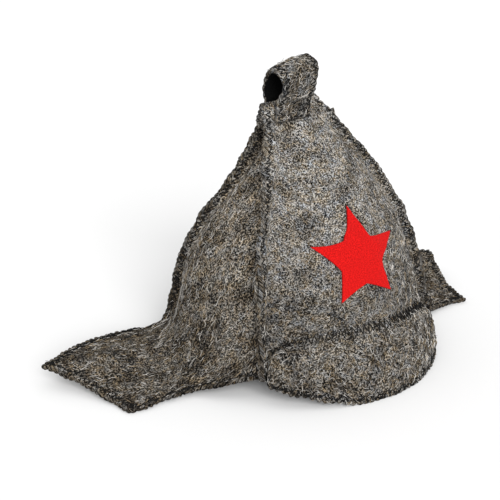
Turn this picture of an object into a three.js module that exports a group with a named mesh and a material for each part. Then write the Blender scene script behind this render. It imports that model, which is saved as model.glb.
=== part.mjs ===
// A felt budenovka: a pointed cap of four felt panels with raised seams, a drooping peak, a red
// felt star, two ear flaps let down and spread on the floor, and a hanging loop over the crown.
// Millimetres, +Z up, front towards -Y, the wearer's left towards +X.
import * as THREE from "three";

// Driving sizes
const feltThickness = 3;
const starThickness = 1.6;
const layerGap = 0.45; // between two pieces of felt that lie on each other
const seamAllowance = 10.5; // from the seam's inner root to its overlocked edge
const rimLift = 10; // the plane of the rim above the floor
const crownTop = 184; // above the plane of the rim, as all the heights below
const sidePanelTop = 164;
const starRadius = 36;
const loopWidth = 30;

// The crown's inside, one row per height. The four seams stand at (+-halfWidth + lean, +-halfDepth),
// the panels bulge out between them, and a seam's edge points turn degrees away from the front
// or the back.
const crown = [
  { height: -12, halfWidth: 74.6, halfDepth: 64.6, broadBulge: 33, sideBulge: 23.5, lean: 0, turn: 49.5 },
  { height: 0, halfWidth: 73.6, halfDepth: 62.2, broadBulge: 34, sideBulge: 22.7, lean: 0.4, turn: 49.8 },
  { height: 15, halfWidth: 71.9, halfDepth: 58.5, broadBulge: 35.5, sideBulge: 21, lean: 1.3, turn: 50.5 },
  { height: 35, halfWidth: 69.3, halfDepth: 53.3, broadBulge: 36, sideBulge: 18.5, lean: 2, turn: 52.3 },
  { height: 55, halfWidth: 66.7, halfDepth: 48.5, broadBulge: 35, sideBulge: 16, lean: 2.6, turn: 54.7 },
  { height: 75, halfWidth: 63.3, halfDepth: 42, broadBulge: 34.5, sideBulge: 13, lean: 4.1, turn: 57.6 },
  { height: 95, halfWidth: 57.2, halfDepth: 33.1, broadBulge: 34, sideBulge: 9.5, lean: 6, turn: 60.9 },
  { height: 115, halfWidth: 47.5, halfDepth: 23.3, broadBulge: 28.5, sideBulge: 6.2, lean: 7.1, turn: 64.6 },
  { height: 135, halfWidth: 37.3, halfDepth: 14.5, broadBulge: 20, sideBulge: 3.4, lean: 6.6, turn: 68.7 },
  { height: 155, halfWidth: 25.4, halfDepth: 6.9, broadBulge: 11, sideBulge: 1.4, lean: 2.8, turn: 75 },
  { height: 170, halfWidth: 17.2, halfDepth: 2.6, broadBulge: 4.6, sideBulge: 0.4, lean: -1, turn: 82 },
  { height: 184, halfWidth: 10.2, halfDepth: 0.2, broadBulge: 0.6, sideBulge: 0.2, lean: -6.7, turn: 90 },
];

// The lower edges of the front and back panels: from the seams' height to this in the middle.
const rimMiddle = { front: 3, back: -12 };
const rimCurve = 1.5;

// The lower edge of the left side panel and its flap, from the front seam round to the back seam:
// share across the panel, then how far out, back and up the edge lies.
const flapEdge = [
  { share: 0, out: 73.6, back: -61, up: 5.3 },
  { share: 0.05, out: 80, back: -58.5, up: 4.6 },
  { share: 0.11, out: 90, back: -52.5, up: 2.8 },
  { share: 0.19, out: 103, back: -42, up: -1.5 },
  { share: 0.28, out: 113, back: -28, up: -6.5 },
  { share: 0.36, out: 137, back: -24.5, up: -8.5 },
  { share: 0.44, out: 162, back: -25, up: -9.9 },
  { share: 0.54, out: 167.5, back: -2, up: -8 },
  { share: 0.64, out: 177, back: 21, up: -2.5 },
  { share: 0.74, out: 193, back: 49, up: 4 },
  { share: 0.8, out: 172, back: 60.5, up: 3 },
  { share: 0.87, out: 147, back: 69, up: 1.5 },
  { share: 0.94, out: 116, back: 73, up: -0.5 },
  { share: 1, out: 73.6, back: 62.2, up: 0 },
];
const flapCorners = [0.28, 0.44, 0.74]; // shares where the edge turns sharply
const foldHeight = { front: 5.3, middle: -6, back: 0 }; // where wall and flap would meet unrounded
const foldRadius = 26;
const foldFit = 0.9; // the share of a short flap that the rounded fold takes up at most
const foldLevel = 3; // how fast the fold sinks from its height at a seam to its middle height
const leftFlapShare = 0.96; // the left flap is this much shorter than the right

// The peak, one row per angle from the front: the height of its sewn edge, and the radius and
// height of its free edge.
const peak = [
  { angle: -47.5, sewn: 22, radius: 106, free: 4.5 },
  { angle: -40, sewn: 30, radius: 106.5, free: 1.5 },
  { angle: -28, sewn: 34.5, radius: 108, free: -4 },
  { angle: -16, sewn: 37, radius: 109.5, free: -8.5 },
  { angle: -4, sewn: 37.5, radius: 110, free: -11.5 },
  { angle: 11, sewn: 37, radius: 110, free: -11.5 },
  { angle: 25, sewn: 34, radius: 108, free: -10.5 },
  { angle: 39, sewn: 29.5, radius: 106.5, free: -5 },
  { angle: 47.5, sewn: 22, radius: 105, free: 0.5 },
];
const sewnShare = 0.94; // the sewn edge stops short of the raised seams
const peakBulge = 2.5;

// The star's centre on the front panel, how much of a step up the panel is height, and its outline:
// the waist between two points and the hollow of its sides as shares of the radius.
const star = { height: 82, aside: -4.6, rise: 0.88, waist: 0.49, hollow: 0.03, turn: -0.01 };

// The loop's underside from the front leg's foot to the top, in the plane across the ridge.
// A missing depth follows the panel that the leg is sewn to.
const loopPath = [
  { height: 170.5 },
  { height: 175 },
  { height: 179 },
  { height: 185.5, depth: 4.9 },
  { height: 191, depth: 7.4 },
  { height: 199, depth: 9.4 },
  { height: 206.5, depth: 8.2 },
  { height: 211, depth: 4.8 },
  { height: 212.5, depth: 0 },
];
const loopSag = 0.26; // the wearer's right edge of the loop is this much lower
const loopFootAside = -9.5;
const loopTopAside = -3;
const loopMargin = 0.15; // share of the panel at each seam that a flat leg bridges

// Steps of each piece of felt
const panelRows = 22;
const sideRows = 15;
const panelColumns = 16;
const foldRows = 6;
const flapRows = 4;
const widestStep = 0.07; // a wider step between two rows of the flap's edge is halved
const peakRows = 6;
const peakColumns = 28;
const starRings = 4;
const starSteps = 50;
const starLift = 0.55; // clear of the panel, whose curve runs in straight facets
const legLift = 0.5;
const loopRows = 26;
const loopColumns = 6;

// A smooth value of a column between a table's rows.
function smooth(table, key, column, at) {
  const last = table.length - 1;
  let i = 0;
  while (i < last - 1 && at > table[i + 1][key]) i++;
  const slope = (k) => {
    const a = table[Math.max(k - 1, 0)];
    const b = table[Math.min(k + 1, last)];
    return (b[column] - a[column]) / (b[key] - a[key]);
  };
  const [a, b] = [table[i], table[i + 1]];
  const span = b[key] - a[key];
  const s = (at - a[key]) / span;
  return (
    a[column] * (1 + 2 * s) * (1 - s) ** 2 +
    slope(i) * span * s * (1 - s) ** 2 +
    b[column] * s * s * (3 - 2 * s) +
    slope(i + 1) * span * s * s * (s - 1)
  );
}

// The same along a stretch between two sharp corners, so that the corners stay sharp.
function smoothBetween(table, key, corners, column, at) {
  const stops = [table[0][key], ...corners, table[table.length - 1][key]];
  const i = Math.max(1, stops.findIndex((stop, k) => k > 0 && at <= stop + 1e-9));
  const stretch = table.filter((row) => row[key] >= stops[i - 1] && row[key] <= stops[i]);
  return smooth(stretch, key, column, at);
}

const leanAt = (height) => smooth(crown, "height", "lean", height);

// The four seams in plan at a height: inner root and the direction of the raised edge.
function seamAt(side, end, height) {
  const turn = THREE.MathUtils.degToRad(smooth(crown, "height", "turn", height));
  return {
    root: new THREE.Vector2(
      side * smooth(crown, "height", "halfWidth", height) + leanAt(height),
      end * smooth(crown, "height", "halfDepth", height),
    ),
    out: new THREE.Vector2(side * Math.sin(turn), end * Math.cos(turn)),
  };
}

// Each panel runs counter-clockwise, seen from above, from one seam to the next.
const panels = {
  front: { start: [-1, -1], finish: [1, -1], bulge: "broadBulge" },
  left: { start: [1, -1], finish: [1, 1], bulge: "sideBulge" },
  back: { start: [1, 1], finish: [-1, 1], bulge: "broadBulge" },
  right: { start: [-1, 1], finish: [-1, -1], bulge: "sideBulge" },
};

// The circle through a panel's two seam roots at a height.
function arcAt(panel, height) {
  const { start, finish, bulge } = panels[panel];
  const a = seamAt(...start, height).root;
  const b = seamAt(...finish, height).root;
  const rise = smooth(crown, "height", bulge, height);
  const half = a.distanceTo(b) / 2;
  const along = b.clone().sub(a).normalize();
  const out = new THREE.Vector2(along.y, -along.x);
  const radius = (half * half + rise * rise) / (2 * rise);
  const centre = a.clone().lerp(b, 0.5).addScaledVector(out, rise - radius);
  return { centre, radius, along, out, spread: 2 * Math.asin(half / radius) };
}

// A point of a panel's inside, across from 0 to 1, and its outward direction in plan.
function wallAt(panel, across, height) {
  const { centre, radius, along, out, spread } = arcAt(panel, height);
  const angle = (across - 0.5) * spread;
  const outward = out.clone().multiplyScalar(Math.cos(angle)).addScaledVector(along, Math.sin(angle));
  const point = centre.clone().addScaledVector(outward, radius);
  return { point: new THREE.Vector3(point.x, point.y, height), outward };
}

// A panel's inside at a seam, moved half a gap clear of the neighbouring panel.
function seamPoint(panel, atFinish, height, reach) {
  const { root, out } = seamAt(...panels[panel][atFinish ? "finish" : "start"], height);
  const inward = new THREE.Vector2(-out.y, out.x).multiplyScalar(atFinish ? -1 : 1);
  const { outward } = wallAt(panel, atFinish ? 1 : 0, height);
  const mitre = inward.clone().add(outward).divideScalar(1 + inward.dot(outward));
  const shift = reach > 0 ? inward : mitre;
  const point = root.clone().addScaledVector(out, reach).addScaledVector(shift, layerGap / 2);
  return new THREE.Vector3(point.x, point.y, height);
}

// How far the seam's edge reaches out in plan, so that it is the allowance square to the seam.
function seamReach(height) {
  const step = 4;
  const low = seamAt(1, 1, height - step);
  const high = seamAt(1, 1, Math.min(height + step, crownTop));
  const slope = high.root.clone().sub(low.root).dot(high.out) / (2 * step);
  return seamAllowance * Math.hypot(1, slope);
}

// A grid of points offset to one side, square to the cells around each point, and mitred at a bend.
const sharpestMitre = 0.6;
function offsetGrid(grid, distance) {
  const rows = grid.length;
  const columns = grid[0].length;
  const cellNormal = (i, j) => {
    const rising = grid[i + 1][j + 1].clone().sub(grid[i][j]);
    const falling = grid[i][j + 1].clone().sub(grid[i + 1][j]);
    return falling.cross(rising).normalize();
  };
  return grid.map((row, i) =>
    row.map((point, j) => {
      const around = [];
      for (const ci of [i - 1, i])
        for (const cj of [j - 1, j])
          if (ci >= 0 && cj >= 0 && ci < rows - 1 && cj < columns - 1) around.push(cellNormal(ci, cj));
      const mean = around.reduce((sum, n) => sum.add(n), new THREE.Vector3()).normalize();
      const least = Math.min(...around.map((n) => n.dot(mean)));
      return point.clone().addScaledVector(mean, distance / Math.max(least, sharpestMitre));
    }),
  );
}

// A closed sheet of felt between two grids. Whatever would dip below the floor lies on it.
function feltSheet(inner, outer) {
  const rows = inner.length;
  const columns = inner[0].length;
  const lay = (p) => [p.x, p.y, Math.max(p.z, -rimLift)];
  const positions = [...inner.flat(), ...outer.flat()].flatMap(lay);
  const at = (layer, i, j) => layer * rows * columns + i * columns + j;
  const index = [];
  const quad = (a, b, c, d) => index.push(a, c, b, a, d, c);
  for (let i = 0; i + 1 < rows; i++)
    for (let j = 0; j + 1 < columns; j++) {
      quad(at(0, i, j), at(0, i, j + 1), at(0, i + 1, j + 1), at(0, i + 1, j));
      quad(at(1, i, j), at(1, i + 1, j), at(1, i + 1, j + 1), at(1, i, j + 1));
    }
  for (let j = 0; j + 1 < columns; j++) {
    quad(at(0, 0, j + 1), at(0, 0, j), at(1, 0, j), at(1, 0, j + 1));
    quad(at(0, rows - 1, j), at(0, rows - 1, j + 1), at(1, rows - 1, j + 1), at(1, rows - 1, j));
  }
  for (let i = 0; i + 1 < rows; i++) {
    quad(at(0, i, 0), at(0, i + 1, 0), at(1, i + 1, 0), at(1, i, 0));
    quad(at(0, i + 1, columns - 1), at(0, i, columns - 1), at(1, i, columns - 1), at(1, i + 1, columns - 1));
  }
  const geometry = new THREE.BufferGeometry();
  geometry.setAttribute("position", new THREE.Float32BufferAttribute(positions, 3));
  geometry.setIndex(index);
  geometry.computeVertexNormals();
  return geometry;
}

const greyFelt = () => new THREE.MeshStandardMaterial({ color: "#6f6a63", roughness: 0.95, metalness: 0 });
const redFelt = () => new THREE.MeshStandardMaterial({ color: "#d8201c", roughness: 0.85, metalness: 0 });

const hat = new THREE.Group();
hat.name = "budenovka";
function addPiece(name, geometry, material) {
  const mesh = new THREE.Mesh(geometry, material);
  mesh.name = name;
  hat.add(mesh);
}

const shares = (count) => Array.from({ length: count + 1 }, (_, k) => k / count);

// One row of a panel's inside: out along the first seam's edge, round the wall, out along the next.
function panelRow(panel, heightAt) {
  const seam = (atFinish) => {
    const height = heightAt(atFinish ? 1 : 0);
    const reach = seamReach(height);
    return [1, 0.5, 0].map((part) => seamPoint(panel, atFinish, height, part * reach));
  };
  const wall = shares(panelColumns)
    .slice(1, -1)
    .map((across) => {
      const { point, outward } = wallAt(panel, across, heightAt(across));
      return point.add(new THREE.Vector3(outward.x, outward.y, 0).multiplyScalar(layerGap / 2));
    });
  return [...seam(false), ...wall, ...seam(true).reverse()];
}

// Front and back panel: wide panels whose top edges meet in the ridge.
function broadPanel(panel) {
  const middle = (across) => Math.sin(Math.PI * across) ** rimCurve;
  const rim = (across) => THREE.MathUtils.lerp(foldHeight[panel], rimMiddle[panel], middle(across));
  const rows = shares(panelRows).map((up) =>
    panelRow(panel, (across) => THREE.MathUtils.lerp(rim(across), crownTop, up)),
  );
  return feltSheet(rows, offsetGrid(rows, feltThickness));
}
addPiece("front_panel", broadPanel("front"), greyFelt());
addPiece("back_panel", broadPanel("back"), greyFelt());

// A column of the left side panel's inside: down the wall, round the fold and out to the flap's edge.
function flapColumn(across, reach) {
  const nearFront = (1 - across) ** foldLevel;
  const nearBack = across ** foldLevel;
  const atSeams = nearFront * foldHeight.front + nearBack * foldHeight.back;
  const foldAt = foldHeight.middle * (1 - nearFront - nearBack) + atSeams;
  const edge = (column) => smoothBetween(flapEdge, "share", flapCorners, column, across);
  const innermost = flapEdge[0].out;
  const end = new THREE.Vector3(innermost + reach * (edge("out") - innermost), edge("back"), edge("up"));
  const fold = wallAt("left", across, foldAt).point;
  const length = Math.max(fold.distanceTo(end), layerGap);
  const radius = Math.min(foldRadius, foldFit * length);
  const above = wallAt("left", across, foldAt + radius).point;
  const beyond = fold.clone().lerp(end, radius / length);
  const wall = shares(sideRows).map((down) =>
    wallAt("left", across, THREE.MathUtils.lerp(sidePanelTop, foldAt + radius, down)).point,
  );
  const bend = shares(foldRows).map((s) =>
    above
      .clone()
      .multiplyScalar((1 - s) ** 2)
      .addScaledVector(fold, 2 * s * (1 - s))
      .addScaledVector(beyond, s * s),
  );
  const flap = shares(flapRows).map((s) => beyond.clone().lerp(end, s));
  return [...wall, ...bend.slice(1), ...flap.slice(1)];
}

// Side panels: cut in one with their flaps, narrowing to a point at the top.
function sidePanel(mirror, reach) {
  const steps = flapEdge.flatMap(({ share }, k) => {
    const next = k + 1 < flapEdge.length ? flapEdge[k + 1].share : share;
    return next - share > widestStep ? [share, (share + next) / 2] : [share];
  });
  const columns = steps.map((across) => flapColumn(across, reach));
  const seam = (atFinish) => {
    const wall = columns[atFinish ? columns.length - 1 : 0];
    return [1, 0.5, 0].map((part) =>
      wall.map((p) => seamPoint("left", atFinish, p.z, part * seamReach(p.z))),
    );
  };
  const all = [...seam(false), ...columns.slice(1, -1), ...seam(true).reverse()];
  const rows = all[0].map((_, i) => all.map((column) => column[i].clone())).reverse();
  const outer = offsetGrid(rows, feltThickness);
  if (!mirror) return feltSheet(rows, outer);
  const across = (grid) =>
    grid.map((row) =>
      row.map((p) => new THREE.Vector3(2 * leanAt(p.z) - p.x, p.y, p.z)).reverse(),
    );
  return feltSheet(across(rows), across(outer));
}
addPiece("left_side_panel", sidePanel(false, leftFlapShare), greyFelt());
addPiece("right_side_panel", sidePanel(true, 1), greyFelt());

// A point above a panel's outside, by its share across and its height.
function onPanel(panel, across, height, lift) {
  const [sideStep, upStep] = [0.01, 1];
  const at = (a, h) => wallAt(panel, a, h).point;
  const along = at(across + sideStep, height).sub(at(across - sideStep, height));
  const up = at(across, height + upStep).sub(at(across, height - upStep));
  const normal = along.cross(up).normalize();
  return at(across, height).addScaledVector(normal, feltThickness + layerGap / 2 + lift);
}

// The peak: a crescent sewn to the front panel by its upper edge, drooping to the floor.
function peakSheet() {
  const widest = peak[peak.length - 1].angle;
  const rows = shares(peakRows).map((drop) =>
    shares(peakColumns).map((share) => {
      const angle = THREE.MathUtils.lerp(-widest, widest, share);
      const at = (column) => smooth(peak, "angle", column, angle);
      const across = 0.5 + (angle / widest) * (sewnShare / 2);
      const sewn = onPanel("front", across, at("sewn"), layerGap);
      const turned = THREE.MathUtils.degToRad(angle);
      const outward = new THREE.Vector3(Math.sin(turned), -Math.cos(turned), 0);
      const free = outward.clone().multiplyScalar(at("radius")).setZ(at("free"));
      return sewn.lerp(free, drop).addScaledVector(outward, peakBulge * Math.sin(Math.PI * drop));
    }),
  );
  rows.reverse();
  return feltSheet(rows, offsetGrid(rows, feltThickness));
}
addPiece("peak", peakSheet(), greyFelt());

// The star's outline: the distance of its edge from its centre, for a share of the way round.
function starEdge(share) {
  const point = Math.round(share * 5);
  const toWaist = Math.abs(share * 5 - point) * 2;
  const tip = new THREE.Vector2(1, 0);
  const waist = new THREE.Vector2(Math.cos(Math.PI / 5), Math.sin(Math.PI / 5)).multiplyScalar(star.waist);
  const onSide = tip.lerp(waist, toWaist);
  return {
    radius: starRadius * (onSide.length() - star.hollow * Math.sin(Math.PI * toWaist)),
    angle: (2 * Math.PI * point) / 5 + Math.sign(share * 5 - point) * onSide.angle(),
  };
}

// The star: thin felt that follows the front panel, in rings around its centre.
function starSheet() {
  const layer = (lift) => {
    const place = (aside, up) => {
      const height = star.height + up * star.rise;
      const arc = arcAt("front", height);
      return onPanel("front", 0.5 + (star.aside + aside) / (arc.radius * arc.spread), height, lift);
    };
    const rings = shares(starRings)
      .slice(1)
      .flatMap((size) =>
        shares(starSteps)
          .slice(0, -1)
          .map((share) => {
            const { radius, angle } = starEdge(share);
            const turned = angle + star.turn;
            return place(-size * radius * Math.sin(turned), size * radius * Math.cos(turned));
          }),
      );
    return [place(0, 0), ...rings];
  };
  const under = layer(starLift);
  const over = layer(starLift + starThickness);
  const count = under.length;
  const at = (top, ring, k) => top * count + (ring === 0 ? 0 : 1 + (ring - 1) * starSteps + (k % starSteps));
  const index = [];
  const cell = (top, a, b, c) => (top ? index.push(a, b, c) : index.push(a, c, b));
  for (const top of [0, 1])
    for (let k = 0; k < starSteps; k++) {
      cell(top, at(top, 0, 0), at(top, 1, k), at(top, 1, k + 1));
      for (let ring = 1; ring < starRings; ring++) {
        cell(top, at(top, ring, k), at(top, ring + 1, k), at(top, ring + 1, k + 1));
        cell(top, at(top, ring, k), at(top, ring + 1, k + 1), at(top, ring, k + 1));
      }
    }
  for (let k = 0; k < starSteps; k++) {
    const [a, b] = [at(0, starRings, k), at(0, starRings, k + 1)];
    const [c, d] = [at(1, starRings, k), at(1, starRings, k + 1)];
    index.push(a, b, d, a, d, c);
  }
  const geometry = new THREE.BufferGeometry();
  geometry.setAttribute(
    "position",
    new THREE.Float32BufferAttribute([...under, ...over].flatMap((p) => [p.x, p.y, p.z]), 3),
  );
  geometry.setIndex(index);
  geometry.computeVertexNormals();
  return geometry;
}
addPiece("star", starSheet(), redFelt());

// The loop: a strip whose legs are sewn to the front and the back panel, standing over the ridge.
function loopSheet() {
  const top = loopPath[loopPath.length - 1].height;
  const foot = loopPath[0].height;
  const onLeg = (height, aside) => {
    const arc = arcAt("front", height);
    const across = 0.5 + (aside - leanAt(height)) / (arc.radius * arc.spread);
    return onPanel("front", THREE.MathUtils.clamp(across, loopMargin, 1 - loopMargin), height, legLift);
  };
  const rowAt = (side) =>
    shares(loopColumns).map((share) =>
      loopPath.map(({ height, depth }) => {
        const lift = (height - foot) / (top - foot);
        const aside = THREE.MathUtils.lerp(loopFootAside, loopTopAside, lift) + (share - 0.5) * loopWidth;
        const sunk = Math.max(height - crownTop, 0) * loopSag * (1 - share) ** 2;
        const leg = onLeg(Math.min(height, crownTop), aside);
        return depth === undefined
          ? new THREE.Vector3(aside, leg.y * side, leg.z)
          : new THREE.Vector3(aside, -depth * side, height - sunk);
      }),
    );
  const front = rowAt(1);
  const back = rowAt(-1);
  const columns = front.map((points, j) => {
    const path = [...points, ...back[j].slice(0, -1).reverse()];
    return new THREE.CatmullRomCurve3(path, false, "centripetal").getPoints(loopRows);
  });
  const rows = columns[0].map((_, i) => columns.map((column) => column[i]));
  return feltSheet(rows, offsetGrid(rows, feltThickness));
}
addPiece("hanging_loop", loopSheet(), greyFelt());

// The origin: on the floor, below the middle of the whole hat.
const box = new THREE.Box3().setFromObject(hat, true);
const middle = box.getCenter(new THREE.Vector3());
hat.position.set(-middle.x, -middle.y, -box.min.z);

export default hat;
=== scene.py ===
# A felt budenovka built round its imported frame: four felt panels with raised seams, ear flaps
# spread on the floor, a drooping peak, a red felt star and a hanging loop over the crown.
import bpy
import math
import numpy as np
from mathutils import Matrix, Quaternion, Vector


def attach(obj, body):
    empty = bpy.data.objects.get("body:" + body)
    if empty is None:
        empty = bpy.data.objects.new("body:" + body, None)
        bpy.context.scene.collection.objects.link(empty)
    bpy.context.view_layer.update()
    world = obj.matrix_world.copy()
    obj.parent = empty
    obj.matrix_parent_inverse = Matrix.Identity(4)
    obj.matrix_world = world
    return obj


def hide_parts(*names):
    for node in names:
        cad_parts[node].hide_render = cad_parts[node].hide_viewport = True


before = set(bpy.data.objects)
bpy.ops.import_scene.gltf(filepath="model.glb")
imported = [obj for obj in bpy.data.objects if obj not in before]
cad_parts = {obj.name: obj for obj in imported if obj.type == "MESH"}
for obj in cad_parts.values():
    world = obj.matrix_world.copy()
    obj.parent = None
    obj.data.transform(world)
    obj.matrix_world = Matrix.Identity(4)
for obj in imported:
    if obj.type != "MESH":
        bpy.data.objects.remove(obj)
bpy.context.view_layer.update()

# The camera
# It stands to the wearer's right of the front, a little above the hat, with a long lens. The
# picture is square, and the hat fills most of it.
camera_place = Vector((-0.4759, -0.6238, 0.3857))
camera_aim = Vector((-0.0146, 0.0438, 0.0681))
camera_roll = math.radians(-0.893)
camera_lens = 80.04

camera_data = bpy.data.cameras.new("camera")
camera_data.lens = camera_lens
camera_data.sensor_width = 36
camera = bpy.data.objects.new("camera", camera_data)
camera.location = camera_place
camera.rotation_mode = "QUATERNION"
looking = (camera_aim - camera_place).to_track_quat("-Z", "Y")
camera.rotation_quaternion = looking @ Quaternion((0, 0, 1), camera_roll)
bpy.context.scene.collection.objects.link(camera)
bpy.context.scene.camera = camera

# The front and back panels
# Two wide pieces of pressed wool felt, 3 mm thick, cut to a rounded triangle. Each is sewn wrong
# side to wrong side with the side panels, so that the seam allowances stand out as fins, and to
# the other at the ridge.
hat_place = np.array([0.00176, 0.00611, 0.01])  # from the crown's own middle at the rim
crown_top = 0.184
felt_thickness = 0.003
seam_allowance = 0.0105
layer_gap = 0.0001
fin_pressed = 0.0008
panel_rim = {"front": (0.0053, 0.003), "back": (0.0, -0.012)}  # at the seams and in the middle
rim_curve = 1.5
bend = 0.0046  # a panel turns into its fin over this distance
stitch_pitch = 0.0047
stitch_width = 0.0045
stitch_relief = 0.0005  # how far the felt swells between two stitches
scallop_depth = 0.0008
scallop_stray = 0.0005
tail_rounding = 0.005
fin_sway = 0.0011
ridge_open, ridge_closed = 0.1645, 0.171  # the panels come together between these heights
floor_clearance = 0.0002
felt_lumps = 0.0003
lumps = ((0.011, 31), (0.005, 32))  # how far apart the larger and smaller ones are, and their seeds
rim_steps = (0.15, 0.5, 0.85)  # of the way round a sheet's edge, from its inside
# Painted shade: the cut edges, the stitched bands by the hems and the seams are darkened for the
# dark of their thread and squeezed felt and for the shade in them; each seam's darkness is set by
# the shade on it.
edge_shadow = 0.38  # how dark the cut edges are under their thread
hem_shadow = 0.25
seam_shadow = {(-1, -1): 0.12, (1, -1): 0.28, (1, 1): 0.3, (-1, 1): 0.6}  # how dark each seam is
panel_rows = 230
wall_columns = 76
bend_columns = 5
fin_columns = 7


class Rows:
    """A short table with named columns, read smoothly between its rows."""

    def __init__(self, columns, rows):
        self.columns = dict(zip(columns.split(), np.array(rows, float).T))
        self.key = next(iter(self.columns.values()))

    def at(self, column, place, corners=()):
        """The column's value at each place. It is smooth apart from the corners."""
        place = np.asarray(place, float)
        stops = [self.key[0], *corners, self.key[-1]]
        found = np.zeros(place.shape)
        for low, high in zip(stops, stops[1:]):
            inside = (self.key >= low) & (self.key <= high)
            here = (place >= low) & (place <= high) if corners else np.full(place.shape, True)
            found[here] = self.curve(self.key[inside], self.columns[column][inside], place[here])
        return found

    @staticmethod
    def curve(key, value, place):
        last = len(key) - 1
        each = np.arange(last + 1)
        after, before = np.minimum(each + 1, last), np.maximum(each - 1, 0)
        slope = (value[after] - value[before]) / (key[after] - key[before])
        i = np.clip(np.searchsorted(key[1:], place), 0, last - 1)
        span = key[i + 1] - key[i]
        s = (place - key[i]) / span
        start = value[i] * (1 + 2 * s) * (1 - s) ** 2 + slope[i] * span * s * (1 - s) ** 2
        return start + value[i + 1] * s * s * (3 - 2 * s) + slope[i + 1] * span * s * s * (s - 1)


crown = Rows(
    "height half_width half_depth broad_bulge side_bulge lean turn",
    [
        (-0.012, 0.0746, 0.0646, 0.0330, 0.0235, 0.0000, 49.5),
        (0.000, 0.0736, 0.0622, 0.0340, 0.0227, 0.0004, 49.8),
        (0.015, 0.0719, 0.0585, 0.0355, 0.0210, 0.0013, 50.5),
        (0.035, 0.0693, 0.0533, 0.0360, 0.0185, 0.0020, 52.3),
        (0.055, 0.0667, 0.0485, 0.0350, 0.0160, 0.0026, 54.7),
        (0.075, 0.0633, 0.0420, 0.0345, 0.0130, 0.0041, 57.6),
        (0.095, 0.0572, 0.0331, 0.0340, 0.0095, 0.0060, 60.9),
        (0.115, 0.0475, 0.0233, 0.0285, 0.0062, 0.0071, 64.6),
        (0.135, 0.0373, 0.0145, 0.0200, 0.0034, 0.0066, 68.7),
        (0.155, 0.0254, 0.0069, 0.0110, 0.0014, 0.0028, 75),
        (0.170, 0.0172, 0.0026, 0.0046, 0.0004, -0.0010, 82),
        (0.184, 0.0102, 0.0002, 0.0006, 0.0002, -0.0067, 90),
    ],
)

# The seams that each panel lies between, as the sides (x, y) that they stand on.
panel_seams = {
    "front": ((-1, -1), (1, -1), "broad_bulge"),
    "left": ((1, -1), (1, 1), "side_bulge"),
    "back": ((1, 1), (-1, 1), "broad_bulge"),
    "right": ((-1, 1), (-1, -1), "side_bulge"),
}


def seam_at(seam, height):
    """Where a seam stands in plan, and the direction that its fin points in."""
    turn = np.radians(crown.at("turn", height))
    lean = crown.at("lean", height)
    aside = seam[0] * crown.at("half_width", height) + lean
    root = np.stack([aside, seam[1] * crown.at("half_depth", height)], -1)
    return root, np.stack([seam[0] * np.sin(turn), seam[1] * np.cos(turn)], -1)


def wall_at(panel, across, height):
    """A point of a panel's inside, its outward direction, and the panel's width there."""
    start, finish, bulge = panel_seams[panel]
    across, height = np.broadcast_arrays(np.asarray(across, float), np.asarray(height, float))
    a, b = seam_at(start, height)[0], seam_at(finish, height)[0]
    rise = crown.at(bulge, height)[..., None]
    half = np.linalg.norm(b - a, axis=-1, keepdims=True) / 2
    along = (b - a) / (2 * half)
    out = np.stack([along[..., 1], -along[..., 0]], -1)
    radius = (half**2 + rise**2) / (2 * rise)
    spread = 2 * np.arcsin(half / radius)
    angle = (across[..., None] - 0.5) * spread
    outward = out * np.cos(angle) + along * np.sin(angle)
    plan = (a + b) / 2 + out * (rise - radius) + outward * radius
    point = np.concatenate([plan, height[..., None]], -1)
    level = np.concatenate([outward, np.zeros(height.shape + (1,))], -1)
    return point, level, (radius * spread)[..., 0]


# How long a seam's fin is from the floor end up to each height, and how far it reaches out.
seam_heights = np.linspace(-0.012, crown_top, 400)
seam_roots, seam_outs = seam_at((1, 1), seam_heights)
seam_slope = (np.gradient(seam_roots, seam_heights, axis=0) * seam_outs).sum(-1)
seam_reaches = seam_allowance * np.hypot(1, seam_slope)
seam_steps = np.hypot(np.linalg.norm(np.diff(seam_roots, axis=0), axis=1), np.diff(seam_heights))
seam_lengths = np.concatenate([[0], np.cumsum(seam_steps)])


def ripple(place, length, seed, count=5):
    """A smooth random value, about -1 to 1, along a line."""
    random = np.random.default_rng(seed)
    waves = 2 * np.pi / length * random.uniform(0.6, 1.6, count)
    angle = np.multiply.outer(place, waves) + random.uniform(0, 6.28, count)
    return np.sin(angle).sum(-1) / math.sqrt(count)


def scallop(place, depth=scallop_depth):
    """How far an overlocked edge stands back from its line: each stitch draws it in."""
    swell = np.abs(np.sin(np.pi * place / stitch_pitch))
    depth = depth * (1 + 0.35 * ripple(place, 0.017, 3))
    return depth * (swell - 1) + scallop_stray * ripple(place, 0.03, 4)


def fin_point(panel, at_finish, height, share, lowest):
    """A point of a panel's inside on its fin, at a share of the fin's reach from its root."""
    start, finish, _ = panel_seams[panel]
    seam = finish if at_finish else start
    root, out = seam_at(seam, height)
    sideways = np.stack([-out[..., 1], out[..., 0]], -1)
    inward = sideways * (-1 if at_finish else 1)
    along = np.interp(height, seam_heights, seam_lengths)
    short = np.clip(tail_rounding - (height - lowest), 0, tail_rounding)
    tail = tail_rounding - np.sqrt(tail_rounding**2 - short**2)
    reach = np.interp(height, seam_heights, seam_reaches) * share
    reach = reach + (scallop(along) - tail) * share**3
    sway = fin_sway * ripple(along, 0.045, 10 + 2 * seam[0] + seam[1]) * share**2
    plan = root + out * reach[..., None] + inward * layer_gap / 2 + sideways * sway[..., None]
    return np.concatenate([plan, height[..., None]], -1)


def curve_through(a, b, c, count):
    """Points of a smooth bend from a to c round the corner b, without its ends."""
    s = np.linspace(0, 1, count + 2)[1:-1, None]
    a, b, c = a[..., None, :], b[..., None, :], c[..., None, :]
    return (1 - s) ** 2 * a + 2 * s * (1 - s) * b + s * s * c


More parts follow.
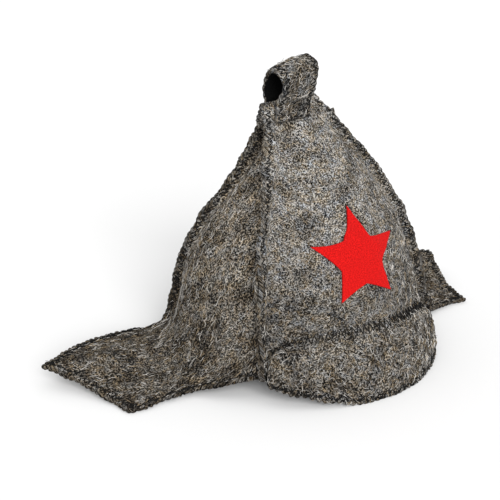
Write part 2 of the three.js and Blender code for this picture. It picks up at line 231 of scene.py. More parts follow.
def with_fins(panel, heights, near, wall, lowest):
    """A panel's rows from fin edge to fin edge. heights and near are those at its two seams."""
    sides = []
    for k, at_finish in enumerate((False, True)):
        reach = np.interp(heights[k], seam_heights, seam_reaches)
        shares = np.linspace(1, 0, fin_columns + 1)[:-1]
        inner_share = np.minimum(bend / reach, 0.6)
        shares = inner_share[:, None] + (1 - inner_share[:, None]) * shares
        height = np.broadcast_to(heights[k][:, None], shares.shape)
        fin = fin_point(panel, at_finish, height, shares, lowest[k])
        ends = [
            fin_point(panel, at_finish, heights[k], share, lowest[k])
            for share in (inner_share, 0 * inner_share)
        ]
        turn = curve_through(ends[0], ends[1], near[k], bend_columns)
        side = np.concatenate([fin, ends[0][:, None], turn], 1)
        sides.append(side[:, ::-1] if at_finish else side)
    return np.concatenate([sides[0], wall, sides[1]], 1)


def swells(points, length, seed, count=16):
    """A smooth random value over space, about -1 to 1, whose swells are about length across."""
    random = np.random.default_rng(seed)
    waves = random.normal(size=(3, count))
    waves *= 2 * np.pi / length * random.uniform(0.7, 1.4, count) / np.linalg.norm(waves, axis=0)
    return np.sin(points @ waves + random.uniform(0, 6.28, count)).sum(-1) / math.sqrt(count)


# Soft felt that has been worn and set down is out of true: how far apart its swells are, how far
# they push it, and the first of their seeds.
slackness = [
    (0.075, (0.0011, 0.0011, 0.0005), 21),
    (0.028, (0.00045, 0.00045, 0.0002), 24),
]
slack_rise = 0.05  # the felt is held by the floor, and is slack above this height


def handled(points):
    """Points moved out of true, and into the row's frame."""
    slack = np.clip((points[..., 2] + hat_place[2]) / slack_rise, 0, 1)[..., None]
    push = 0
    for length, reach, seed in slackness:
        push = push + np.stack([swells(points, length, seed + k) for k in range(3)], -1) * reach
    return points + push * slack + hat_place


def unit(vectors):
    return vectors / np.maximum(np.linalg.norm(vectors, axis=-1, keepdims=True), 1e-12)


def outward_of(grid):
    """Unit vectors square to a grid of points, outward where its rows rise and run to the left."""
    return unit(np.cross(np.gradient(grid, axis=1), np.gradient(grid, axis=0)))


def rim_of(rows, columns):
    """The row and column numbers once round a grid's edge."""
    i, j = np.arange(rows - 1), np.arange(columns - 1)
    round_i = np.concatenate([0 * j, i, 0 * j + rows - 1, i[::-1] + 1])
    return round_i, np.concatenate([j, 0 * i + columns - 1, j[::-1] + 1, 0 * i])


def lay_flat(grid):
    """A grid's places on the flat felt: metres aside of its middle column and up each column."""
    up = np.linalg.norm(np.diff(grid, axis=0), axis=-1).cumsum(0)
    up = np.pad(up, ((1, 0), (0, 0))) - up[-1]
    step = np.linalg.norm(np.diff(grid, axis=1), axis=-1) ** 2 - np.diff(up, axis=1) ** 2
    across = np.pad(np.sqrt(np.maximum(step, 0)).cumsum(1), ((0, 0), (1, 0)))
    return np.stack([across - across[:, grid.shape[1] // 2][:, None], up], -1)


def new_piece(name, points, faces, material, corners=None, pressed=None):
    """A smooth object from points and faces, on the floor or above it. corners are its faces'
    places on the flat felt, and pressed tells the material how dark to paint each point: squeezed
    felt by the stitches, and painted shade on the seams, the cut edges and the loop's inside."""
    points[:, 2] = np.maximum(points[:, 2], floor_clearance)
    mesh = bpy.data.meshes.new(name)
    mesh.from_pydata(points.tolist(), [], faces)
    if corners is not None:
        mesh.uv_layers.new(name="flat").data.foreach_set("uv", corners.ravel())
    if pressed is not None:
        mesh.attributes.new("pressed", "FLOAT", "POINT").data.foreach_set("value", pressed)
    mesh.materials.append(material)
    mesh.shade_smooth()
    piece = bpy.data.objects.new(name, mesh)
    bpy.context.scene.collection.objects.link(piece)
    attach(piece, "root")
    return piece


def cut_size(grid):
    """The width, length and area of the flat felt that a grid of points is cut from."""
    across, up = grid[:-1, 1:] - grid[:-1, :-1], grid[1:, :-1] - grid[:-1, :-1]
    width, length = np.ptp(lay_flat(grid).reshape(-1, 2), axis=0)
    return (width, length), np.linalg.norm(np.cross(across, up), axis=-1).sum()


def felt_piece(
    name, inner, material, thickness, pressed, seed, paired=False, painted_inside_shade=0.0, edge=0.0007
):
    """A sheet of felt of that thickness outside a grid of points, with soft rounded edges. pressed
    is how dark each point is painted, seed picks its part of the felt's pattern, and hollow is
    how dark painted shade makes its inside. The ends of a paired sheet's rows meet those of
    another sheet, and the two round off as one. Returns the piece, and its inside and outside."""
    rows, columns = inner.shape[:2]
    out = outward_of(inner)
    outer = inner + out * np.broadcast_to(thickness, (rows, columns))[..., None]
    lumpy = swells(outer, *lumps[0]) + 0.6 * swells(outer, *lumps[1])
    outer += out * (felt_lumps * lumpy)[..., None]
    i, j = rim_of(rows, columns)
    next_in = np.clip(i, 1, rows - 2), np.clip(j, 1, columns - 2)
    middle = (inner + outer) / 2
    away = unit(middle[i, j] - middle[next_in])
    as_one = (paired & ((j == 0) | (j == columns - 1)))[:, None]

    def swell(share):
        rounding = np.where(as_one, math.cos(math.pi / 2 * share), math.sin(math.pi * share))
        return away * edge * rounding

    rim = [inner[i, j] * (1 - share) + outer[i, j] * share + swell(share) for share in rim_steps]
    inner = inner.copy()
    inner[i, j] += swell(0)
    flat_size, flat_area = cut_size((inner + outer) / 2)
    flat = lay_flat(inner) + np.random.default_rng(seed).uniform(1, 9, 2)
    flat_away = unit(flat[i, j] - flat[next_in]) * felt_thickness
    flat_rim = [flat[i, j] + flat_away * (1 - share) for share in (0, *rim_steps)]
    flat = np.concatenate([flat.reshape(-1, 2)] * 2 + flat_rim[1:])
    inner, outer = handled(inner), handled(outer)
    points = np.concatenate([inner.reshape(-1, 3), outer.reshape(-1, 3), *map(handled, rim)])
    number = np.arange(rows * columns).reshape(rows, columns)
    corner_numbers = [number[:-1, :-1], number[:-1, 1:], number[1:, 1:], number[1:, :-1]]
    outside = np.stack(corner_numbers, -1).reshape(-1, 4)
    around, first = len(i), 2 * rows * columns
    loops = [first + k * around + np.arange(around) for k in range(len(rim))]
    loops = [number[i, j], *loops, number[i, j] + rows * columns]
    bands = [
        np.stack([low, np.roll(low, -1), np.roll(high, -1), high], -1)
        for low, high in zip(loops, loops[1:])
    ]
    faces = np.concatenate([outside[:, [0, 3, 2, 1]], outside + rows * columns, *bands])
    corners = flat[faces]
    first_band = slice(2 * len(outside), 2 * len(outside) + around)
    corners[first_band, 0] = flat_rim[0]
    corners[first_band, 1] = np.roll(flat_rim[0], -1, axis=0)
    # Painted shade: the cut edges are darkened at least to edge_shadow, and the inside of a sheet
    # to hollow.
    rim_dark = [np.maximum(pressed[i, j], edge_shadow)] * len(rim)
    dark = np.concatenate([np.maximum(pressed, painted_inside_shade).ravel(), pressed.ravel(), *rim_dark])
    piece = new_piece(name, points, faces.tolist(), material, corners, dark)
    return piece, (inner, outer)


# The felt is sheep's wool of many natural colours: a dark ground of matted fibres with pale, tan
# and black hairs lying over it in every direction, and browner and darker clouds.
class Link:
    """A socket of a material's node tree, so that shader maths reads as a Python expression."""

    def __init__(self, finish, socket):
        self.finish = finish
        self.socket = socket

    def math(self, operation, *others):
        sockets = dict(enumerate((self, *others)))
        return self.finish.node("ShaderNodeMath", dict(operation=operation), sockets)

    def __add__(self, other):
        return self.math("ADD", other)

    def __mul__(self, other):
        return self.math("MULTIPLY", other)

    def __sub__(self, other):
        return self.math("SUBTRACT", other)

    def __rsub__(self, other):
        return self.math("MULTIPLY", -1).math("ADD", other)

    __radd__ = __add__
    __rmul__ = __mul__

    def __abs__(self):
        return self.math("ABSOLUTE")

    def within(self, low, high):
        """0 below low, 1 above high and smooth between them, or the other way round."""
        if low > high:
            return 1 - self.within(high, low)
        settings = dict(interpolation_type="SMOOTHSTEP")
        sockets = {"Value": self, "From Min": low, "From Max": high}
        return self.finish.node("ShaderNodeMapRange", settings, sockets)


class Finish:
    """A material made of nodes, with one method that adds any node."""

    def __init__(self, name):
        self.material = bpy.data.materials.new(name)
        self.material.use_nodes = True
        self.tree = self.material.node_tree
        self.shader = self.tree.nodes["Principled BSDF"]

    def node(self, kind, settings=None, sockets=None, output=0):
        """Adds a node: its settings, among them the stops of a ramp, and then its sockets."""
        made = self.tree.nodes.new(kind)
        for key, value in (settings or {}).items():
            if key == "stops":
                self.set_stops(made.color_ramp, value)
            else:
                setattr(made, key, value)
        for key, value in (sockets or {}).items():
            self.feed(made.inputs[key], value)
        return Link(self, made.outputs[output])

    @staticmethod
    def set_stops(ramp, colours):
        """Evenly spread steps of colour."""
        ramp.interpolation = "CONSTANT"
        for k, colour in enumerate(colours):
            stop = ramp.elements[0] if k == 0 else ramp.elements.new(k / len(colours))
            stop.color = colour
        ramp.elements.remove(ramp.elements[-1])

    def feed(self, socket, value):
        if isinstance(value, Link):
            self.tree.links.new(value.socket, socket)
        else:
            socket.default_value = value

    def surface(self, **values):
        for key, value in values.items():
            self.feed(self.shader.inputs[key.replace("_", " ")], value)

    def vector(self, operation, a, b):
        return self.node("ShaderNodeVectorMath", dict(operation=operation), {0: a, 1: b})

    def moved(self, place, x, y):
        """Another part of a pattern."""
        return self.vector("ADD", place, (x, y, 0))

    def mix(self, share, a, b, blend="MIX"):
        settings = dict(data_type="RGBA", blend_type=blend)
        return self.node("ShaderNodeMix", settings, {0: share, 6: a, 7: b}, output=2)

    def noise(self, place, size, detail=2.0, flat=True):
        settings = dict(noise_dimensions="2D" if flat else "3D")
        sockets = {"Vector": place, "Scale": 1 / size, "Detail": detail}
        return self.node("ShaderNodeTexNoise", settings, sockets)

    def bump(self, height, strength, distance):
        sockets = {"Height": height, "Strength": strength, "Distance": distance}
        return self.node("ShaderNodeBump", None, sockets)


def tone(value, warm=0.0):
    """A colour from its screen grey, 0 to 255, with some of its blue traded for red."""
    screen = [value * (1 + 0.65 * warm), value, value * (1 - warm)]
    return (*[(min(c, 255) / 255) ** 2.2 for c in screen], 1)


# Short hairs lie in tufts, layer over layer. A tuft's hairs run one way and share a natural
# colour, from its layer's greys, each with its warmth.
hair_width = 0.00058
hair_length = 0.0040
tuft_layers = [
    (0.0030, 0.50, [(34, 0.0), (56, 0.10), (84, 0.05), (44, 0.04)]),
    (0.0026, 0.52, [(140, 0.02), (108, 0.12), (172, 0.02), (74, 0.05)]),
    (0.0034, 0.54, [(26, 0.0), (186, 0.04), (34, 0.03), (140, 0.08)]),
]
tuft_edge = 0.06
# Long hairs curl over them: the size of the curls, the level of the random field that the hair
# follows, its half width there, how much of it is hidden, its grey and its warmth.
curly_hairs = [
    (0.0021, 0.47, 0.050, 0.47, 28, 0.0),
    (0.0024, 0.53, 0.050, 0.49, 134, 0.17),
    (0.0019, 0.50, 0.050, 0.50, 184, -0.03),
    (0.0022, 0.55, 0.045, 0.50, 22, 0.04),
    (0.0026, 0.46, 0.042, 0.50, 212, 0.05),
    (0.0020, 0.52, 0.040, 0.54, 20, 0.0),
    (0.0025, 0.50, 0.036, 0.51, 246, -0.02),
    (0.0034, 0.50, 0.030, 0.66, 160, 0.30),
]
hair_cover = 0.92
cloud_size = 0.020
brown_size = 0.012
mottle_size = 0.0085
tint_size = 0.006
speck_size = 0.00118
grain_size = 0.0011
middle_grey = 96  # stays as it is at any contrast
darkest = 10


def wool(name, lightness, contrast, warmth, coarse, painted_low_shade=0.0, cloudy=1.0):
    """The grey felt. warmth makes it browner, coarse is how wide and how high its hairs are drawn
    out, soiled is how much more painted shade darkens it low down, and cloudy how strong its
    dark clouds are."""
    felt = Finish(name)
    flat = felt.node("ShaderNodeUVMap", dict(uv_map="flat"))
    flat = felt.vector("MULTIPLY", flat, (1 / coarse[0], 1 / coarse[1], 1))
    clouds = felt.noise(flat, cloud_size, 3)
    brown = felt.noise(felt.moved(flat, 3.1, 1.7), brown_size)
    mottle = felt.noise(felt.moved(flat, 7.7, 3.3), mottle_size)
    tint = felt.noise(felt.moved(flat, 2.9, 8.1), tint_size)
    grain = felt.noise(flat, grain_size)
    dark_specks = felt.noise(felt.moved(flat, 5.3, 4.1), speck_size, 0.6)
    pale_specks = felt.noise(felt.moved(flat, 1.3, 6.7), speck_size, 0.6)

    def shade(grey, warm=0.0):
        grey = middle_grey + (grey - middle_grey) * contrast
        return tone(max(grey, darkest) * lightness, warm + warmth)

    colour = felt.mix(grain.within(0.4, 0.62), shade(26), shade(84))
    colour = felt.mix(brown.within(0.5, 0.68) * 0.6, colour, shade(78, 0.14))
    height = grain * 0.5
    for k, (tuft, least, shades) in enumerate(tuft_layers):
        place = felt.moved(flat, 0.37 * k, 0.61 * k)
        cells = dict(voronoi_dimensions="2D", feature="F1")
        sockets = {"Vector": place, "Scale": 1 / tuft}
        chances = {"Color": felt.node("ShaderNodeTexVoronoi", cells, sockets, output=1)}
        turn = felt.node("ShaderNodeSeparateColor", None, chances) * (2 * math.pi)
        choice = felt.node("ShaderNodeSeparateColor", None, chances, output=1)
        about = dict(rotation_type="Z_AXIS")
        turned = felt.node("ShaderNodeVectorRotate", about, {"Vector": place, "Angle": turn})
        turned = felt.vector("MULTIPLY", turned, (1 / hair_length, 1 / hair_width, 1))
        strand = felt.noise(turned, 1, 1).within(least, least + tuft_edge)
        stops = [shade(*grey) for grey in shades]
        natural = felt.node("ShaderNodeValToRGB", dict(stops=stops), {0: choice})
        colour = felt.mix(strand * hair_cover, colour, natural)
        height = height + strand * 0.3
    for k, (curl, level, width, hidden, grey, warm) in enumerate(curly_hairs):
        place = felt.moved(flat, 1.37 * k + 0.5, 2.61 * k + 0.3)
        line = abs(felt.noise(place, curl, 1.5) - level).within(width * 1.4, width * 0.5)
        shown = felt.noise(felt.moved(place, 0.7, 0.2), curl * 1.3, 1)
        line = line * shown.within(hidden, hidden + 0.05)
        colour = felt.mix(line * hair_cover, colour, shade(grey, warm))
        height = height + line * 0.35
    washes = [
        (clouds.within(0.50, 0.34) * 0.5, shade(34, 0.04)),
        (clouds.within(0.54, 0.70) * 0.35, shade(150, 0.02)),
        (brown.within(0.54, 0.70) * 0.25, shade(96, 0.16)),
        (dark_specks.within(0.47, 0.37) * 0.75, shade(12)),
        (pale_specks.within(0.55, 0.65) * 0.75, shade(240, 0.02)),
    ]
    for share, wash in washes:
        colour = felt.mix(share, colour, wash)
    place = felt.node("ShaderNodeTexCoord", output=3)
    above_floor = felt.node("ShaderNodeSeparateXYZ", None, {0: place}, output=2)
    shadows = [
        (clouds.within(0.55, 0.36) * cloudy, (0.56, 0.54, 0.52, 1)),
        (mottle.within(0.60, 0.36) * cloudy, (0.70, 0.68, 0.66, 1)),
        (brown.within(0.42, 0.62), (1.04, 0.99, 0.90, 1)),
        (tint.within(0.47, 0.62), (1.05, 0.98, 0.88, 1)),
        (tint.within(0.50, 0.36), (0.95, 0.99, 1.04, 1)),
        # Painted shade: the felt is darkened towards the floor, and further by soiled on the pieces
        # that have it.
        (above_floor.within(0.17, 0.0), (0.53, 0.52, 0.51, 1)),
        (above_floor.within(0.11, 0.03) * painted_low_shade, (0.72, 0.71, 0.70, 1)),
    ]
    for share, shadow in shadows:
        colour = felt.mix(share, colour, shadow, "MULTIPLY")
    # Painted shade, together with the darkness of felt squeezed under the stitches: the seams, the
    # cut edges and the loop's inside are turned towards near black.
    pressed = felt.node("ShaderNodeAttribute", dict(attribute_name="pressed"), output=2)
    colour = felt.mix(pressed, colour, shade(16))
    felt.surface(Base_Color=colour, Roughness=0.95, Normal=felt.bump(height, 0.8, 0.0005))
    felt.surface(Sheen_Weight=0.01, Sheen_Roughness=0.6, Specular_IOR_Level=0.04)
    return felt.material


broad_wool = wool("grey_felt_of_front_and_back", 0.642, 1.42, -0.004, (0.9, 0.9), 0.95, 0.68)


def broad_panel(panel):
    at_seam, in_middle = panel_rim[panel]
    up = np.linspace(0, 1, panel_rows)[:, None]

    def height_at(across):
        rim = at_seam + (in_middle - at_seam) * np.sin(np.pi * across) ** rim_curve
        return rim + (crown_top - rim) * up

    seam_height = height_at(np.zeros((1, 1)))[:, 0]
    width = wall_at(panel, 0.5, seam_height)[2]
    near_share = np.minimum(bend / width, 0.3)[:, None]
    across = near_share + (1 - 2 * near_share) * np.linspace(0, 1, wall_columns)
    wall, out, _ = wall_at(panel, across, height_at(across))
    wall = wall + out * layer_gap / 2
    heights = [seam_height, seam_height]
    grid = with_fins(panel, heights, [wall[:, 0], wall[:, -1]], wall, [at_seam, at_seam])
    return grid, heights


def from_ends(count):
    """How many steps each place in a row is from the row's nearer end."""
    steps = np.arange(count)
    return np.minimum(steps, steps[::-1])


def stitch_swell(along):
    """How the felt swells between the stitches of an edge, about 0."""
    return np.abs(np.sin(np.pi * along / stitch_pitch)) - 0.6


def stitched_fins(panel, heights, columns):
    """A panel's thickness and how dark it is painted: the overlocking squeezes the fins towards
    their edges, and the felt swells between its stitches. The darkness along the fins is the
    squeezed felt with painted shade, set seam by seam and less where the felt swells."""
    nearness = np.clip(1 - from_ends(columns) / fin_columns, 0, 1)[None, :]
    along = [np.interp(height, seam_heights, seam_lengths) for height in heights]
    swell = np.stack([stitch_swell(line) for line in along], 1)
    swell = np.repeat(swell, [columns // 2, columns - columns // 2], axis=1)
    band = np.clip(1.6 * nearness, 0, 1)
    shadows = [seam_shadow[seam] for seam in panel_seams[panel][:2]]
    dark = band * (0.9 - swell) * np.where(np.arange(columns) < columns // 2, *shadows)
    return felt_thickness - fin_pressed * nearness + stitch_relief * swell * band, dark


def stitched_hem(thickness, pressed, first, last, steps, row_step):
    """The same along the lower edge, between two columns. steps is how many columns a stitch has,
    and row_step how far apart the rows are."""
    swell = stitch_swell(np.arange(last - first) * stitch_pitch / steps)
    for row in range(math.ceil(stitch_width / row_step)):
        band = 1 - 0.5 * row * row_step / stitch_width
        thickness[row, first:last] += stitch_relief * swell * band
        dark = hem_shadow * band * (0.9 - swell)
        pressed[row, first:last] = np.maximum(pressed[row, first:last], dark)


def close_ridge(grid, thickness):
    """Swells the inside of a broad panel above the side panels until it meets the other panel."""
    share = np.clip((grid[..., 2] - ridge_open) / (ridge_closed - ridge_open), 0, 1)
    share = share * share * (3 - 2 * share)
    gap = (np.abs(grid[..., 1]) - layer_gap / 2) * share
    grid[..., 1] -= np.sign(grid[..., 1]) * gap
    thickness += gap


felt_faces = {}  # each piece's inside and outside, which the threads and the hairs lie on
seam_rows = {}  # the heights of each panel's rows at its two seams
for side_of_head, grain_seed in (("front", 119), ("back", 113)):
    panel_inside, seam_rows[side_of_head] = broad_panel(side_of_head)
    panel_name = f"{side_of_head}_panel"
    thickness, pressed = stitched_fins(side_of_head, seam_rows[side_of_head], panel_inside.shape[1])
    close_ridge(panel_inside, thickness)
    panel_piece, felt_faces[side_of_head] = felt_piece(
        f"{panel_name}_felt", panel_inside, broad_wool,
        thickness, pressed, grain_seed, paired=True,
    )
    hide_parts(panel_name)

# The side panels and ear flaps
# Narrow pieces that run to a point at the top. Each is cut in one with its flap, which hangs
# over the ear and neck; here both flaps are let down and spread outward on the floor.
side_top = 0.169
fold_height = {"front": 0.0053, "middle": -0.006, "back": 0.0}
fold_radius = 0.026
fold_fit = 0.9
fold_level = 3
left_flap_share = 0.96
side_rows = 140
wall_points, turn_points, flap_points = 90, 30, 40  # of the line that the rows are taken from
hem_depth = 0.0016
hem_steps = 3  # columns of the mesh for each stitch of the hem
hem_row_step = 0.0019  # how far apart the rows are there
near_seam = 0.04  # the share of a side panel over which it turns into its fin

flap_edge = Rows(
    "share out back up",
    [
        (0.00, 0.0736, -0.0610, 0.0053),
        (0.05, 0.0800, -0.0585, 0.0046),
        (0.11, 0.0900, -0.0525, 0.0028),
        (0.19, 0.1030, -0.0420, -0.0015),
        (0.28, 0.1130, -0.0280, -0.0065),
        (0.36, 0.1370, -0.0245, -0.0085),
        (0.44, 0.1620, -0.0250, -0.0099),
        (0.54, 0.1675, -0.0020, -0.0080),
        (0.64, 0.1770, 0.0210, -0.0025),
        (0.74, 0.1930, 0.0490, 0.0040),
        (0.80, 0.1720, 0.0605, 0.0030),
        (0.87, 0.1470, 0.0690, 0.0015),
        (0.94, 0.1160, 0.0730, -0.0005),
        (1.00, 0.0736, 0.0622, 0.0000),
    ],
)
flap_corners = (0.28, 0.44, 0.74)


def edge_lengths(line):
    return np.concatenate([[0], np.cumsum(np.linalg.norm(np.diff(line, axis=0), axis=1))])


def evenly(line, count):
    """A line of points taken again at even steps along it."""
    along = edge_lengths(line)
    places = np.linspace(0, along[-1], count)
    return np.stack([np.interp(places, along, line[:, k]) for k in range(3)], -1)


def flap_rim(share, reach):
    out, back, up = (flap_edge.at(column, share, flap_corners) for column in ("out", "back", "up"))
    innermost = flap_edge.columns["out"][0]
    return np.stack([innermost + reach * (out - innermost), back, up], -1)


def flap_column(share, reach):
    """The inside of a side panel from its top down the wall, round the fold and out to the edge."""
    near_front, near_back = (1 - share) ** fold_level, share**fold_level
    at_seams = near_front * fold_height["front"] + near_back * fold_height["back"]
    fold_at = fold_height["middle"] * (1 - near_front - near_back) + at_seams
    end = flap_rim(share, reach)
    fold = wall_at("left", share, fold_at)[0]
    length = max(np.linalg.norm(end - fold), layer_gap)
    radius = min(fold_radius, fold_fit * length)
    above = wall_at("left", share, fold_at + radius)[0]
    beyond = fold + (end - fold) * radius / length
    wall = wall_at("left", share, np.linspace(side_top, fold_at + radius, wall_points))[0]
    turn = curve_through(above, fold, beyond, turn_points)
    flap = beyond + (end - beyond) * np.linspace(0, 1, flap_points)[:, None]
    return evenly(np.concatenate([wall, turn, flap]), side_rows)[::-1]


def edge_shares(reach):
    """Shares across the panel, at even steps along its lower edge, with each corner among them."""
    stops = [near_seam, *flap_corners, 1 - near_seam]
    shares = []
    for low, high in zip(stops, stops[1:]):
        fine = np.linspace(low, high, 200)
        along = edge_lengths(flap_rim(fine, reach))
        count = math.ceil(along[-1] / stitch_pitch * hem_steps)
        shares.extend(np.interp(np.linspace(0, along[-1], count, endpoint=False), along, fine))
    return [*shares, 1 - near_seam]


def side_panel(mirrored, reach):
    wall = np.stack([flap_column(share, reach) for share in edge_shares(reach)], 1)
    seams = [flap_column(share, reach)[:, 2] for share in (0.0, 1.0)]
    lowest = [fold_height["front"], fold_height["back"]]
    grid = with_fins("left", seams, [wall[:, 0], wall[:, -1]], wall, lowest)
    if mirrored:
        grid = grid[:, ::-1].copy()
        grid[..., 0] = 2 * crown.at("lean", grid[..., 2]) - grid[..., 0]
    return grid, seams[::-1] if mirrored else seams


def hem_scallop(grid, first, last, steps):
    """Pushes the lower edge of a grid out, square to it, but for a dip at each stitch of the hem.
    It is done between two columns, and steps is how many columns a stitch has."""
    rim = grid[0, first:last]
    along = np.arange(last - first) * stitch_pitch / steps
    run = unit(np.gradient(rim, axis=0))
    out = rim - grid[1, first:last]
    out = unit(out - run * (out * run).sum(-1, keepdims=True))
    grid[0, first:last] += out * (scallop(along, hem_depth) + 0.8 * hem_depth)[:, None]


fins = fin_columns + 1 + bend_columns
# Painted shade: the same felt as the front and back panels, with a much lower lightness that stands
# for the shade on the side walls and flaps, and more contrast to keep its hairs clear.
side_wool = wool("grey_felt_of_sides", 0.385, 2.85, 0.036, (1.14, 1.1), 0.1)
for hand, mirrored, flap_reach, grain_seed in (
    ("left", False, left_flap_share, 149),
    ("right", True, 1, 157),
):
    side_inside, seam_rows[hand] = side_panel(mirrored, flap_reach)
    side_columns = side_inside.shape[1]
    hem_scallop(side_inside, fins, side_columns - fins, hem_steps)
    thickness, pressed = stitched_fins(hand, seam_rows[hand], side_columns)
    stitched_hem(thickness, pressed, fins, side_columns - fins, hem_steps, hem_row_step)
    side_piece, felt_faces[hand] = felt_piece(
        f"{hand}_side_panel_felt", side_inside, side_wool,
        thickness, pressed, grain_seed, paired=True,
    )
    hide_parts(f"{hand}_side_panel")

# The peak
# A crescent of the same felt, laid over the front panel by its upper edge and sewn down with a
# wide zigzag. Nothing stiffens it, so that it droops to the floor.
sewn_share = 0.94
peak_bulge = 0.0025
peak_rows = 62
peak_columns = 190
peak_steps = 5
peak_length = 0.04
peak_row_step = 0.0009  # how far apart its rows are, for its hem
peak_taper = 0.007  # its sewn edge and its ends thin out over this distance
peak_pressed = 0.0004  # the felt's thickness where the zigzag presses it down
peak_edge = 0.0004  # how far its cut edge is rounded off
peak = Rows(
    "angle sewn radius free",
    [
        (-47.5, 0.0220, 0.1060, 0.0045),
        (-40, 0.0300, 0.1065, 0.0015),
        (-28, 0.0345, 0.1080, -0.0040),
        (-16, 0.0370, 0.1095, -0.0085),
        (-4, 0.0375, 0.1100, -0.0115),
        (11, 0.0370, 0.1100, -0.0115),
        (25, 0.0340, 0.1080, -0.0105),
        (39, 0.0295, 0.1065, -0.0050),
        (47.5, 0.0220, 0.1050, 0.0005),
    ],
)


def on_front(across, height, lift):
    """A point at some distance above the front panel's inside."""
    step, rise = 0.01, 0.001
    along = wall_at("front", across + step, height)[0] - wall_at("front", across - step, height)[0]
    up = wall_at("front", across, height + rise)[0] - wall_at("front", across, height - rise)[0]
    square = unit(np.cross(along, up))
    return wall_at("front", across, height)[0] + square * (layer_gap / 2 + lift)


def peak_inside():
    widest = peak.key[-1]
    angle = np.linspace(-widest, widest, peak_columns)[None, :]
    drop = np.linspace(0, 1, peak_rows)[:, None]
    across = 0.5 + angle / widest * sewn_share / 2
    sewn = on_front(across, peak.at("sewn", angle), felt_thickness + layer_gap / 2)
    turned = np.radians(angle)
    outward = np.stack([np.sin(turned), -np.cos(turned), 0 * turned], -1)
    free = outward * peak.at("radius", angle)[..., None]
    free[..., 2] = peak.at("free", angle)
    sheet = sewn + (free - sewn) * drop[..., None]
    return (sheet + outward * (peak_bulge * np.sin(np.pi * drop))[..., None])[::-1]


peak_grid = peak_inside()
hem_scallop(peak_grid, 0, peak_columns, peak_steps)
from_sewn_edge = np.linspace(1, 0, peak_rows)[:, None] * peak_length
from_peak_end = from_ends(peak_columns) * stitch_pitch / peak_steps
peak_fullness = np.clip(from_sewn_edge / peak_taper, 0, 1)
peak_thickness = peak_pressed + (felt_thickness - peak_pressed) * peak_fullness
peak_thickness = peak_thickness * (0.3 + 0.7 * np.clip(from_peak_end / peak_taper, 0, 1))
peak_dark = np.zeros((peak_rows, peak_columns))
stitched_hem(peak_thickness, peak_dark, 0, peak_columns, peak_steps, peak_row_step)
# Painted shade: the same felt as the front panel, set darker for the shade on the drooping peak.
peak_wool = wool("grey_felt_of_peak", 0.475, 2.15, 0.008, (1.0, 1.0))
peak_piece, felt_faces["peak"] = felt_piece(
    "peak_felt", peak_grid, peak_wool, peak_thickness, peak_dark, 74, edge=peak_edge
)
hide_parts("peak")

# The star
# A plain five-pointed star cut from thin, dense red felt and fixed flat on the front panel, a
# little to the wearer's right of its middle.
star_radius = 0.036
star_thickness = 0.0016
star_height = 0.082
star_aside = -0.0046
star_rise = 0.88  # how much of a step up the leaning panel is height
star_waist = 0.49
star_hollow = 0.03
star_turn = -0.01
star_rings = 24
star_steps = 200
star_lift = 0.0004
star_rounding = 0.0004  # how far its upper edge stands in from the lower one
star_swell = 0.0001  # and how far the middle of its edge stands out
nap_size = 0.0009
red_cloud_size = 0.012


def star_outline(share):
    """How far the star's edge is from its centre, and at which angle, once round it."""
    point = np.round(share * 5)
    to_waist = np.abs(share * 5 - point) * 2
    waist = np.array([math.cos(math.pi / 5), math.sin(math.pi / 5)]) * star_waist
    x = 1 + (waist[0] - 1) * to_waist
    y = waist[1] * to_waist
    radius = star_radius * (np.hypot(x, y) - star_hollow * np.sin(np.pi * to_waist))
    return radius, 2 * np.pi * point / 5 + np.sign(share * 5 - point) * np.arctan2(y, x)


def red_felt():
    red = Finish("red_felt")
    flat = red.node("ShaderNodeUVMap", dict(uv_map="flat"))
    nap = red.noise(flat, nap_size, 3)
    clouds = red.noise(flat, red_cloud_size)
    deep, bright = (0.26, 0.0026, 0.0023, 1), (0.46, 0.0056, 0.0050, 1)
    faded = (0.34, 0.0039, 0.0035, 1)
    colour = red.mix(nap.within(0.34, 0.66), deep, bright)
    colour = red.mix(clouds.within(0.4, 0.65) * 0.3, colour, faded)
    red.surface(Base_Color=colour, Roughness=0.85, Normal=red.bump(nap, 0.5, 0.0003))
    red.surface(Sheen_Weight=0.02, Specular_IOR_Level=0.06)
    return red.material


def star_points(lift, inset=0.0):
    """Points of one level of the star, its centre and then its rings, in place and flat."""
    radius, angle = star_outline(np.linspace(0, 1, star_steps, endpoint=False))
    size = (np.arange(1, star_rings + 1) / star_rings)[:, None]
    reach = size * (radius - inset)
    angle = angle + star_turn
    aside = star_aside - reach * np.sin(angle)
    height = star_height + reach * np.cos(angle) * star_rise
    lift = felt_thickness + lift
    rings = on_front(0.5 + aside / wall_at("front", 0.5, height)[2], height, lift)
    across = 0.5 + star_aside / wall_at("front", 0.5, star_height)[2]
    centre = on_front(np.array([across]), np.array([star_height]), lift)
    flat = np.stack([reach * np.cos(angle), reach * np.sin(angle)], -1).reshape(-1, 2)
    return np.concatenate([centre, rings.reshape(-1, 3)]), np.concatenate([[[0, 0]], flat])


def lift_star(points):
    """Lifts the star with the panel's own lumps, so that it lies on them."""
    out = np.array([0, -0.9, 0.4])
    return points + out * (felt_lumps * swells(points, *lumps[0]))[:, None] + out * star_lift


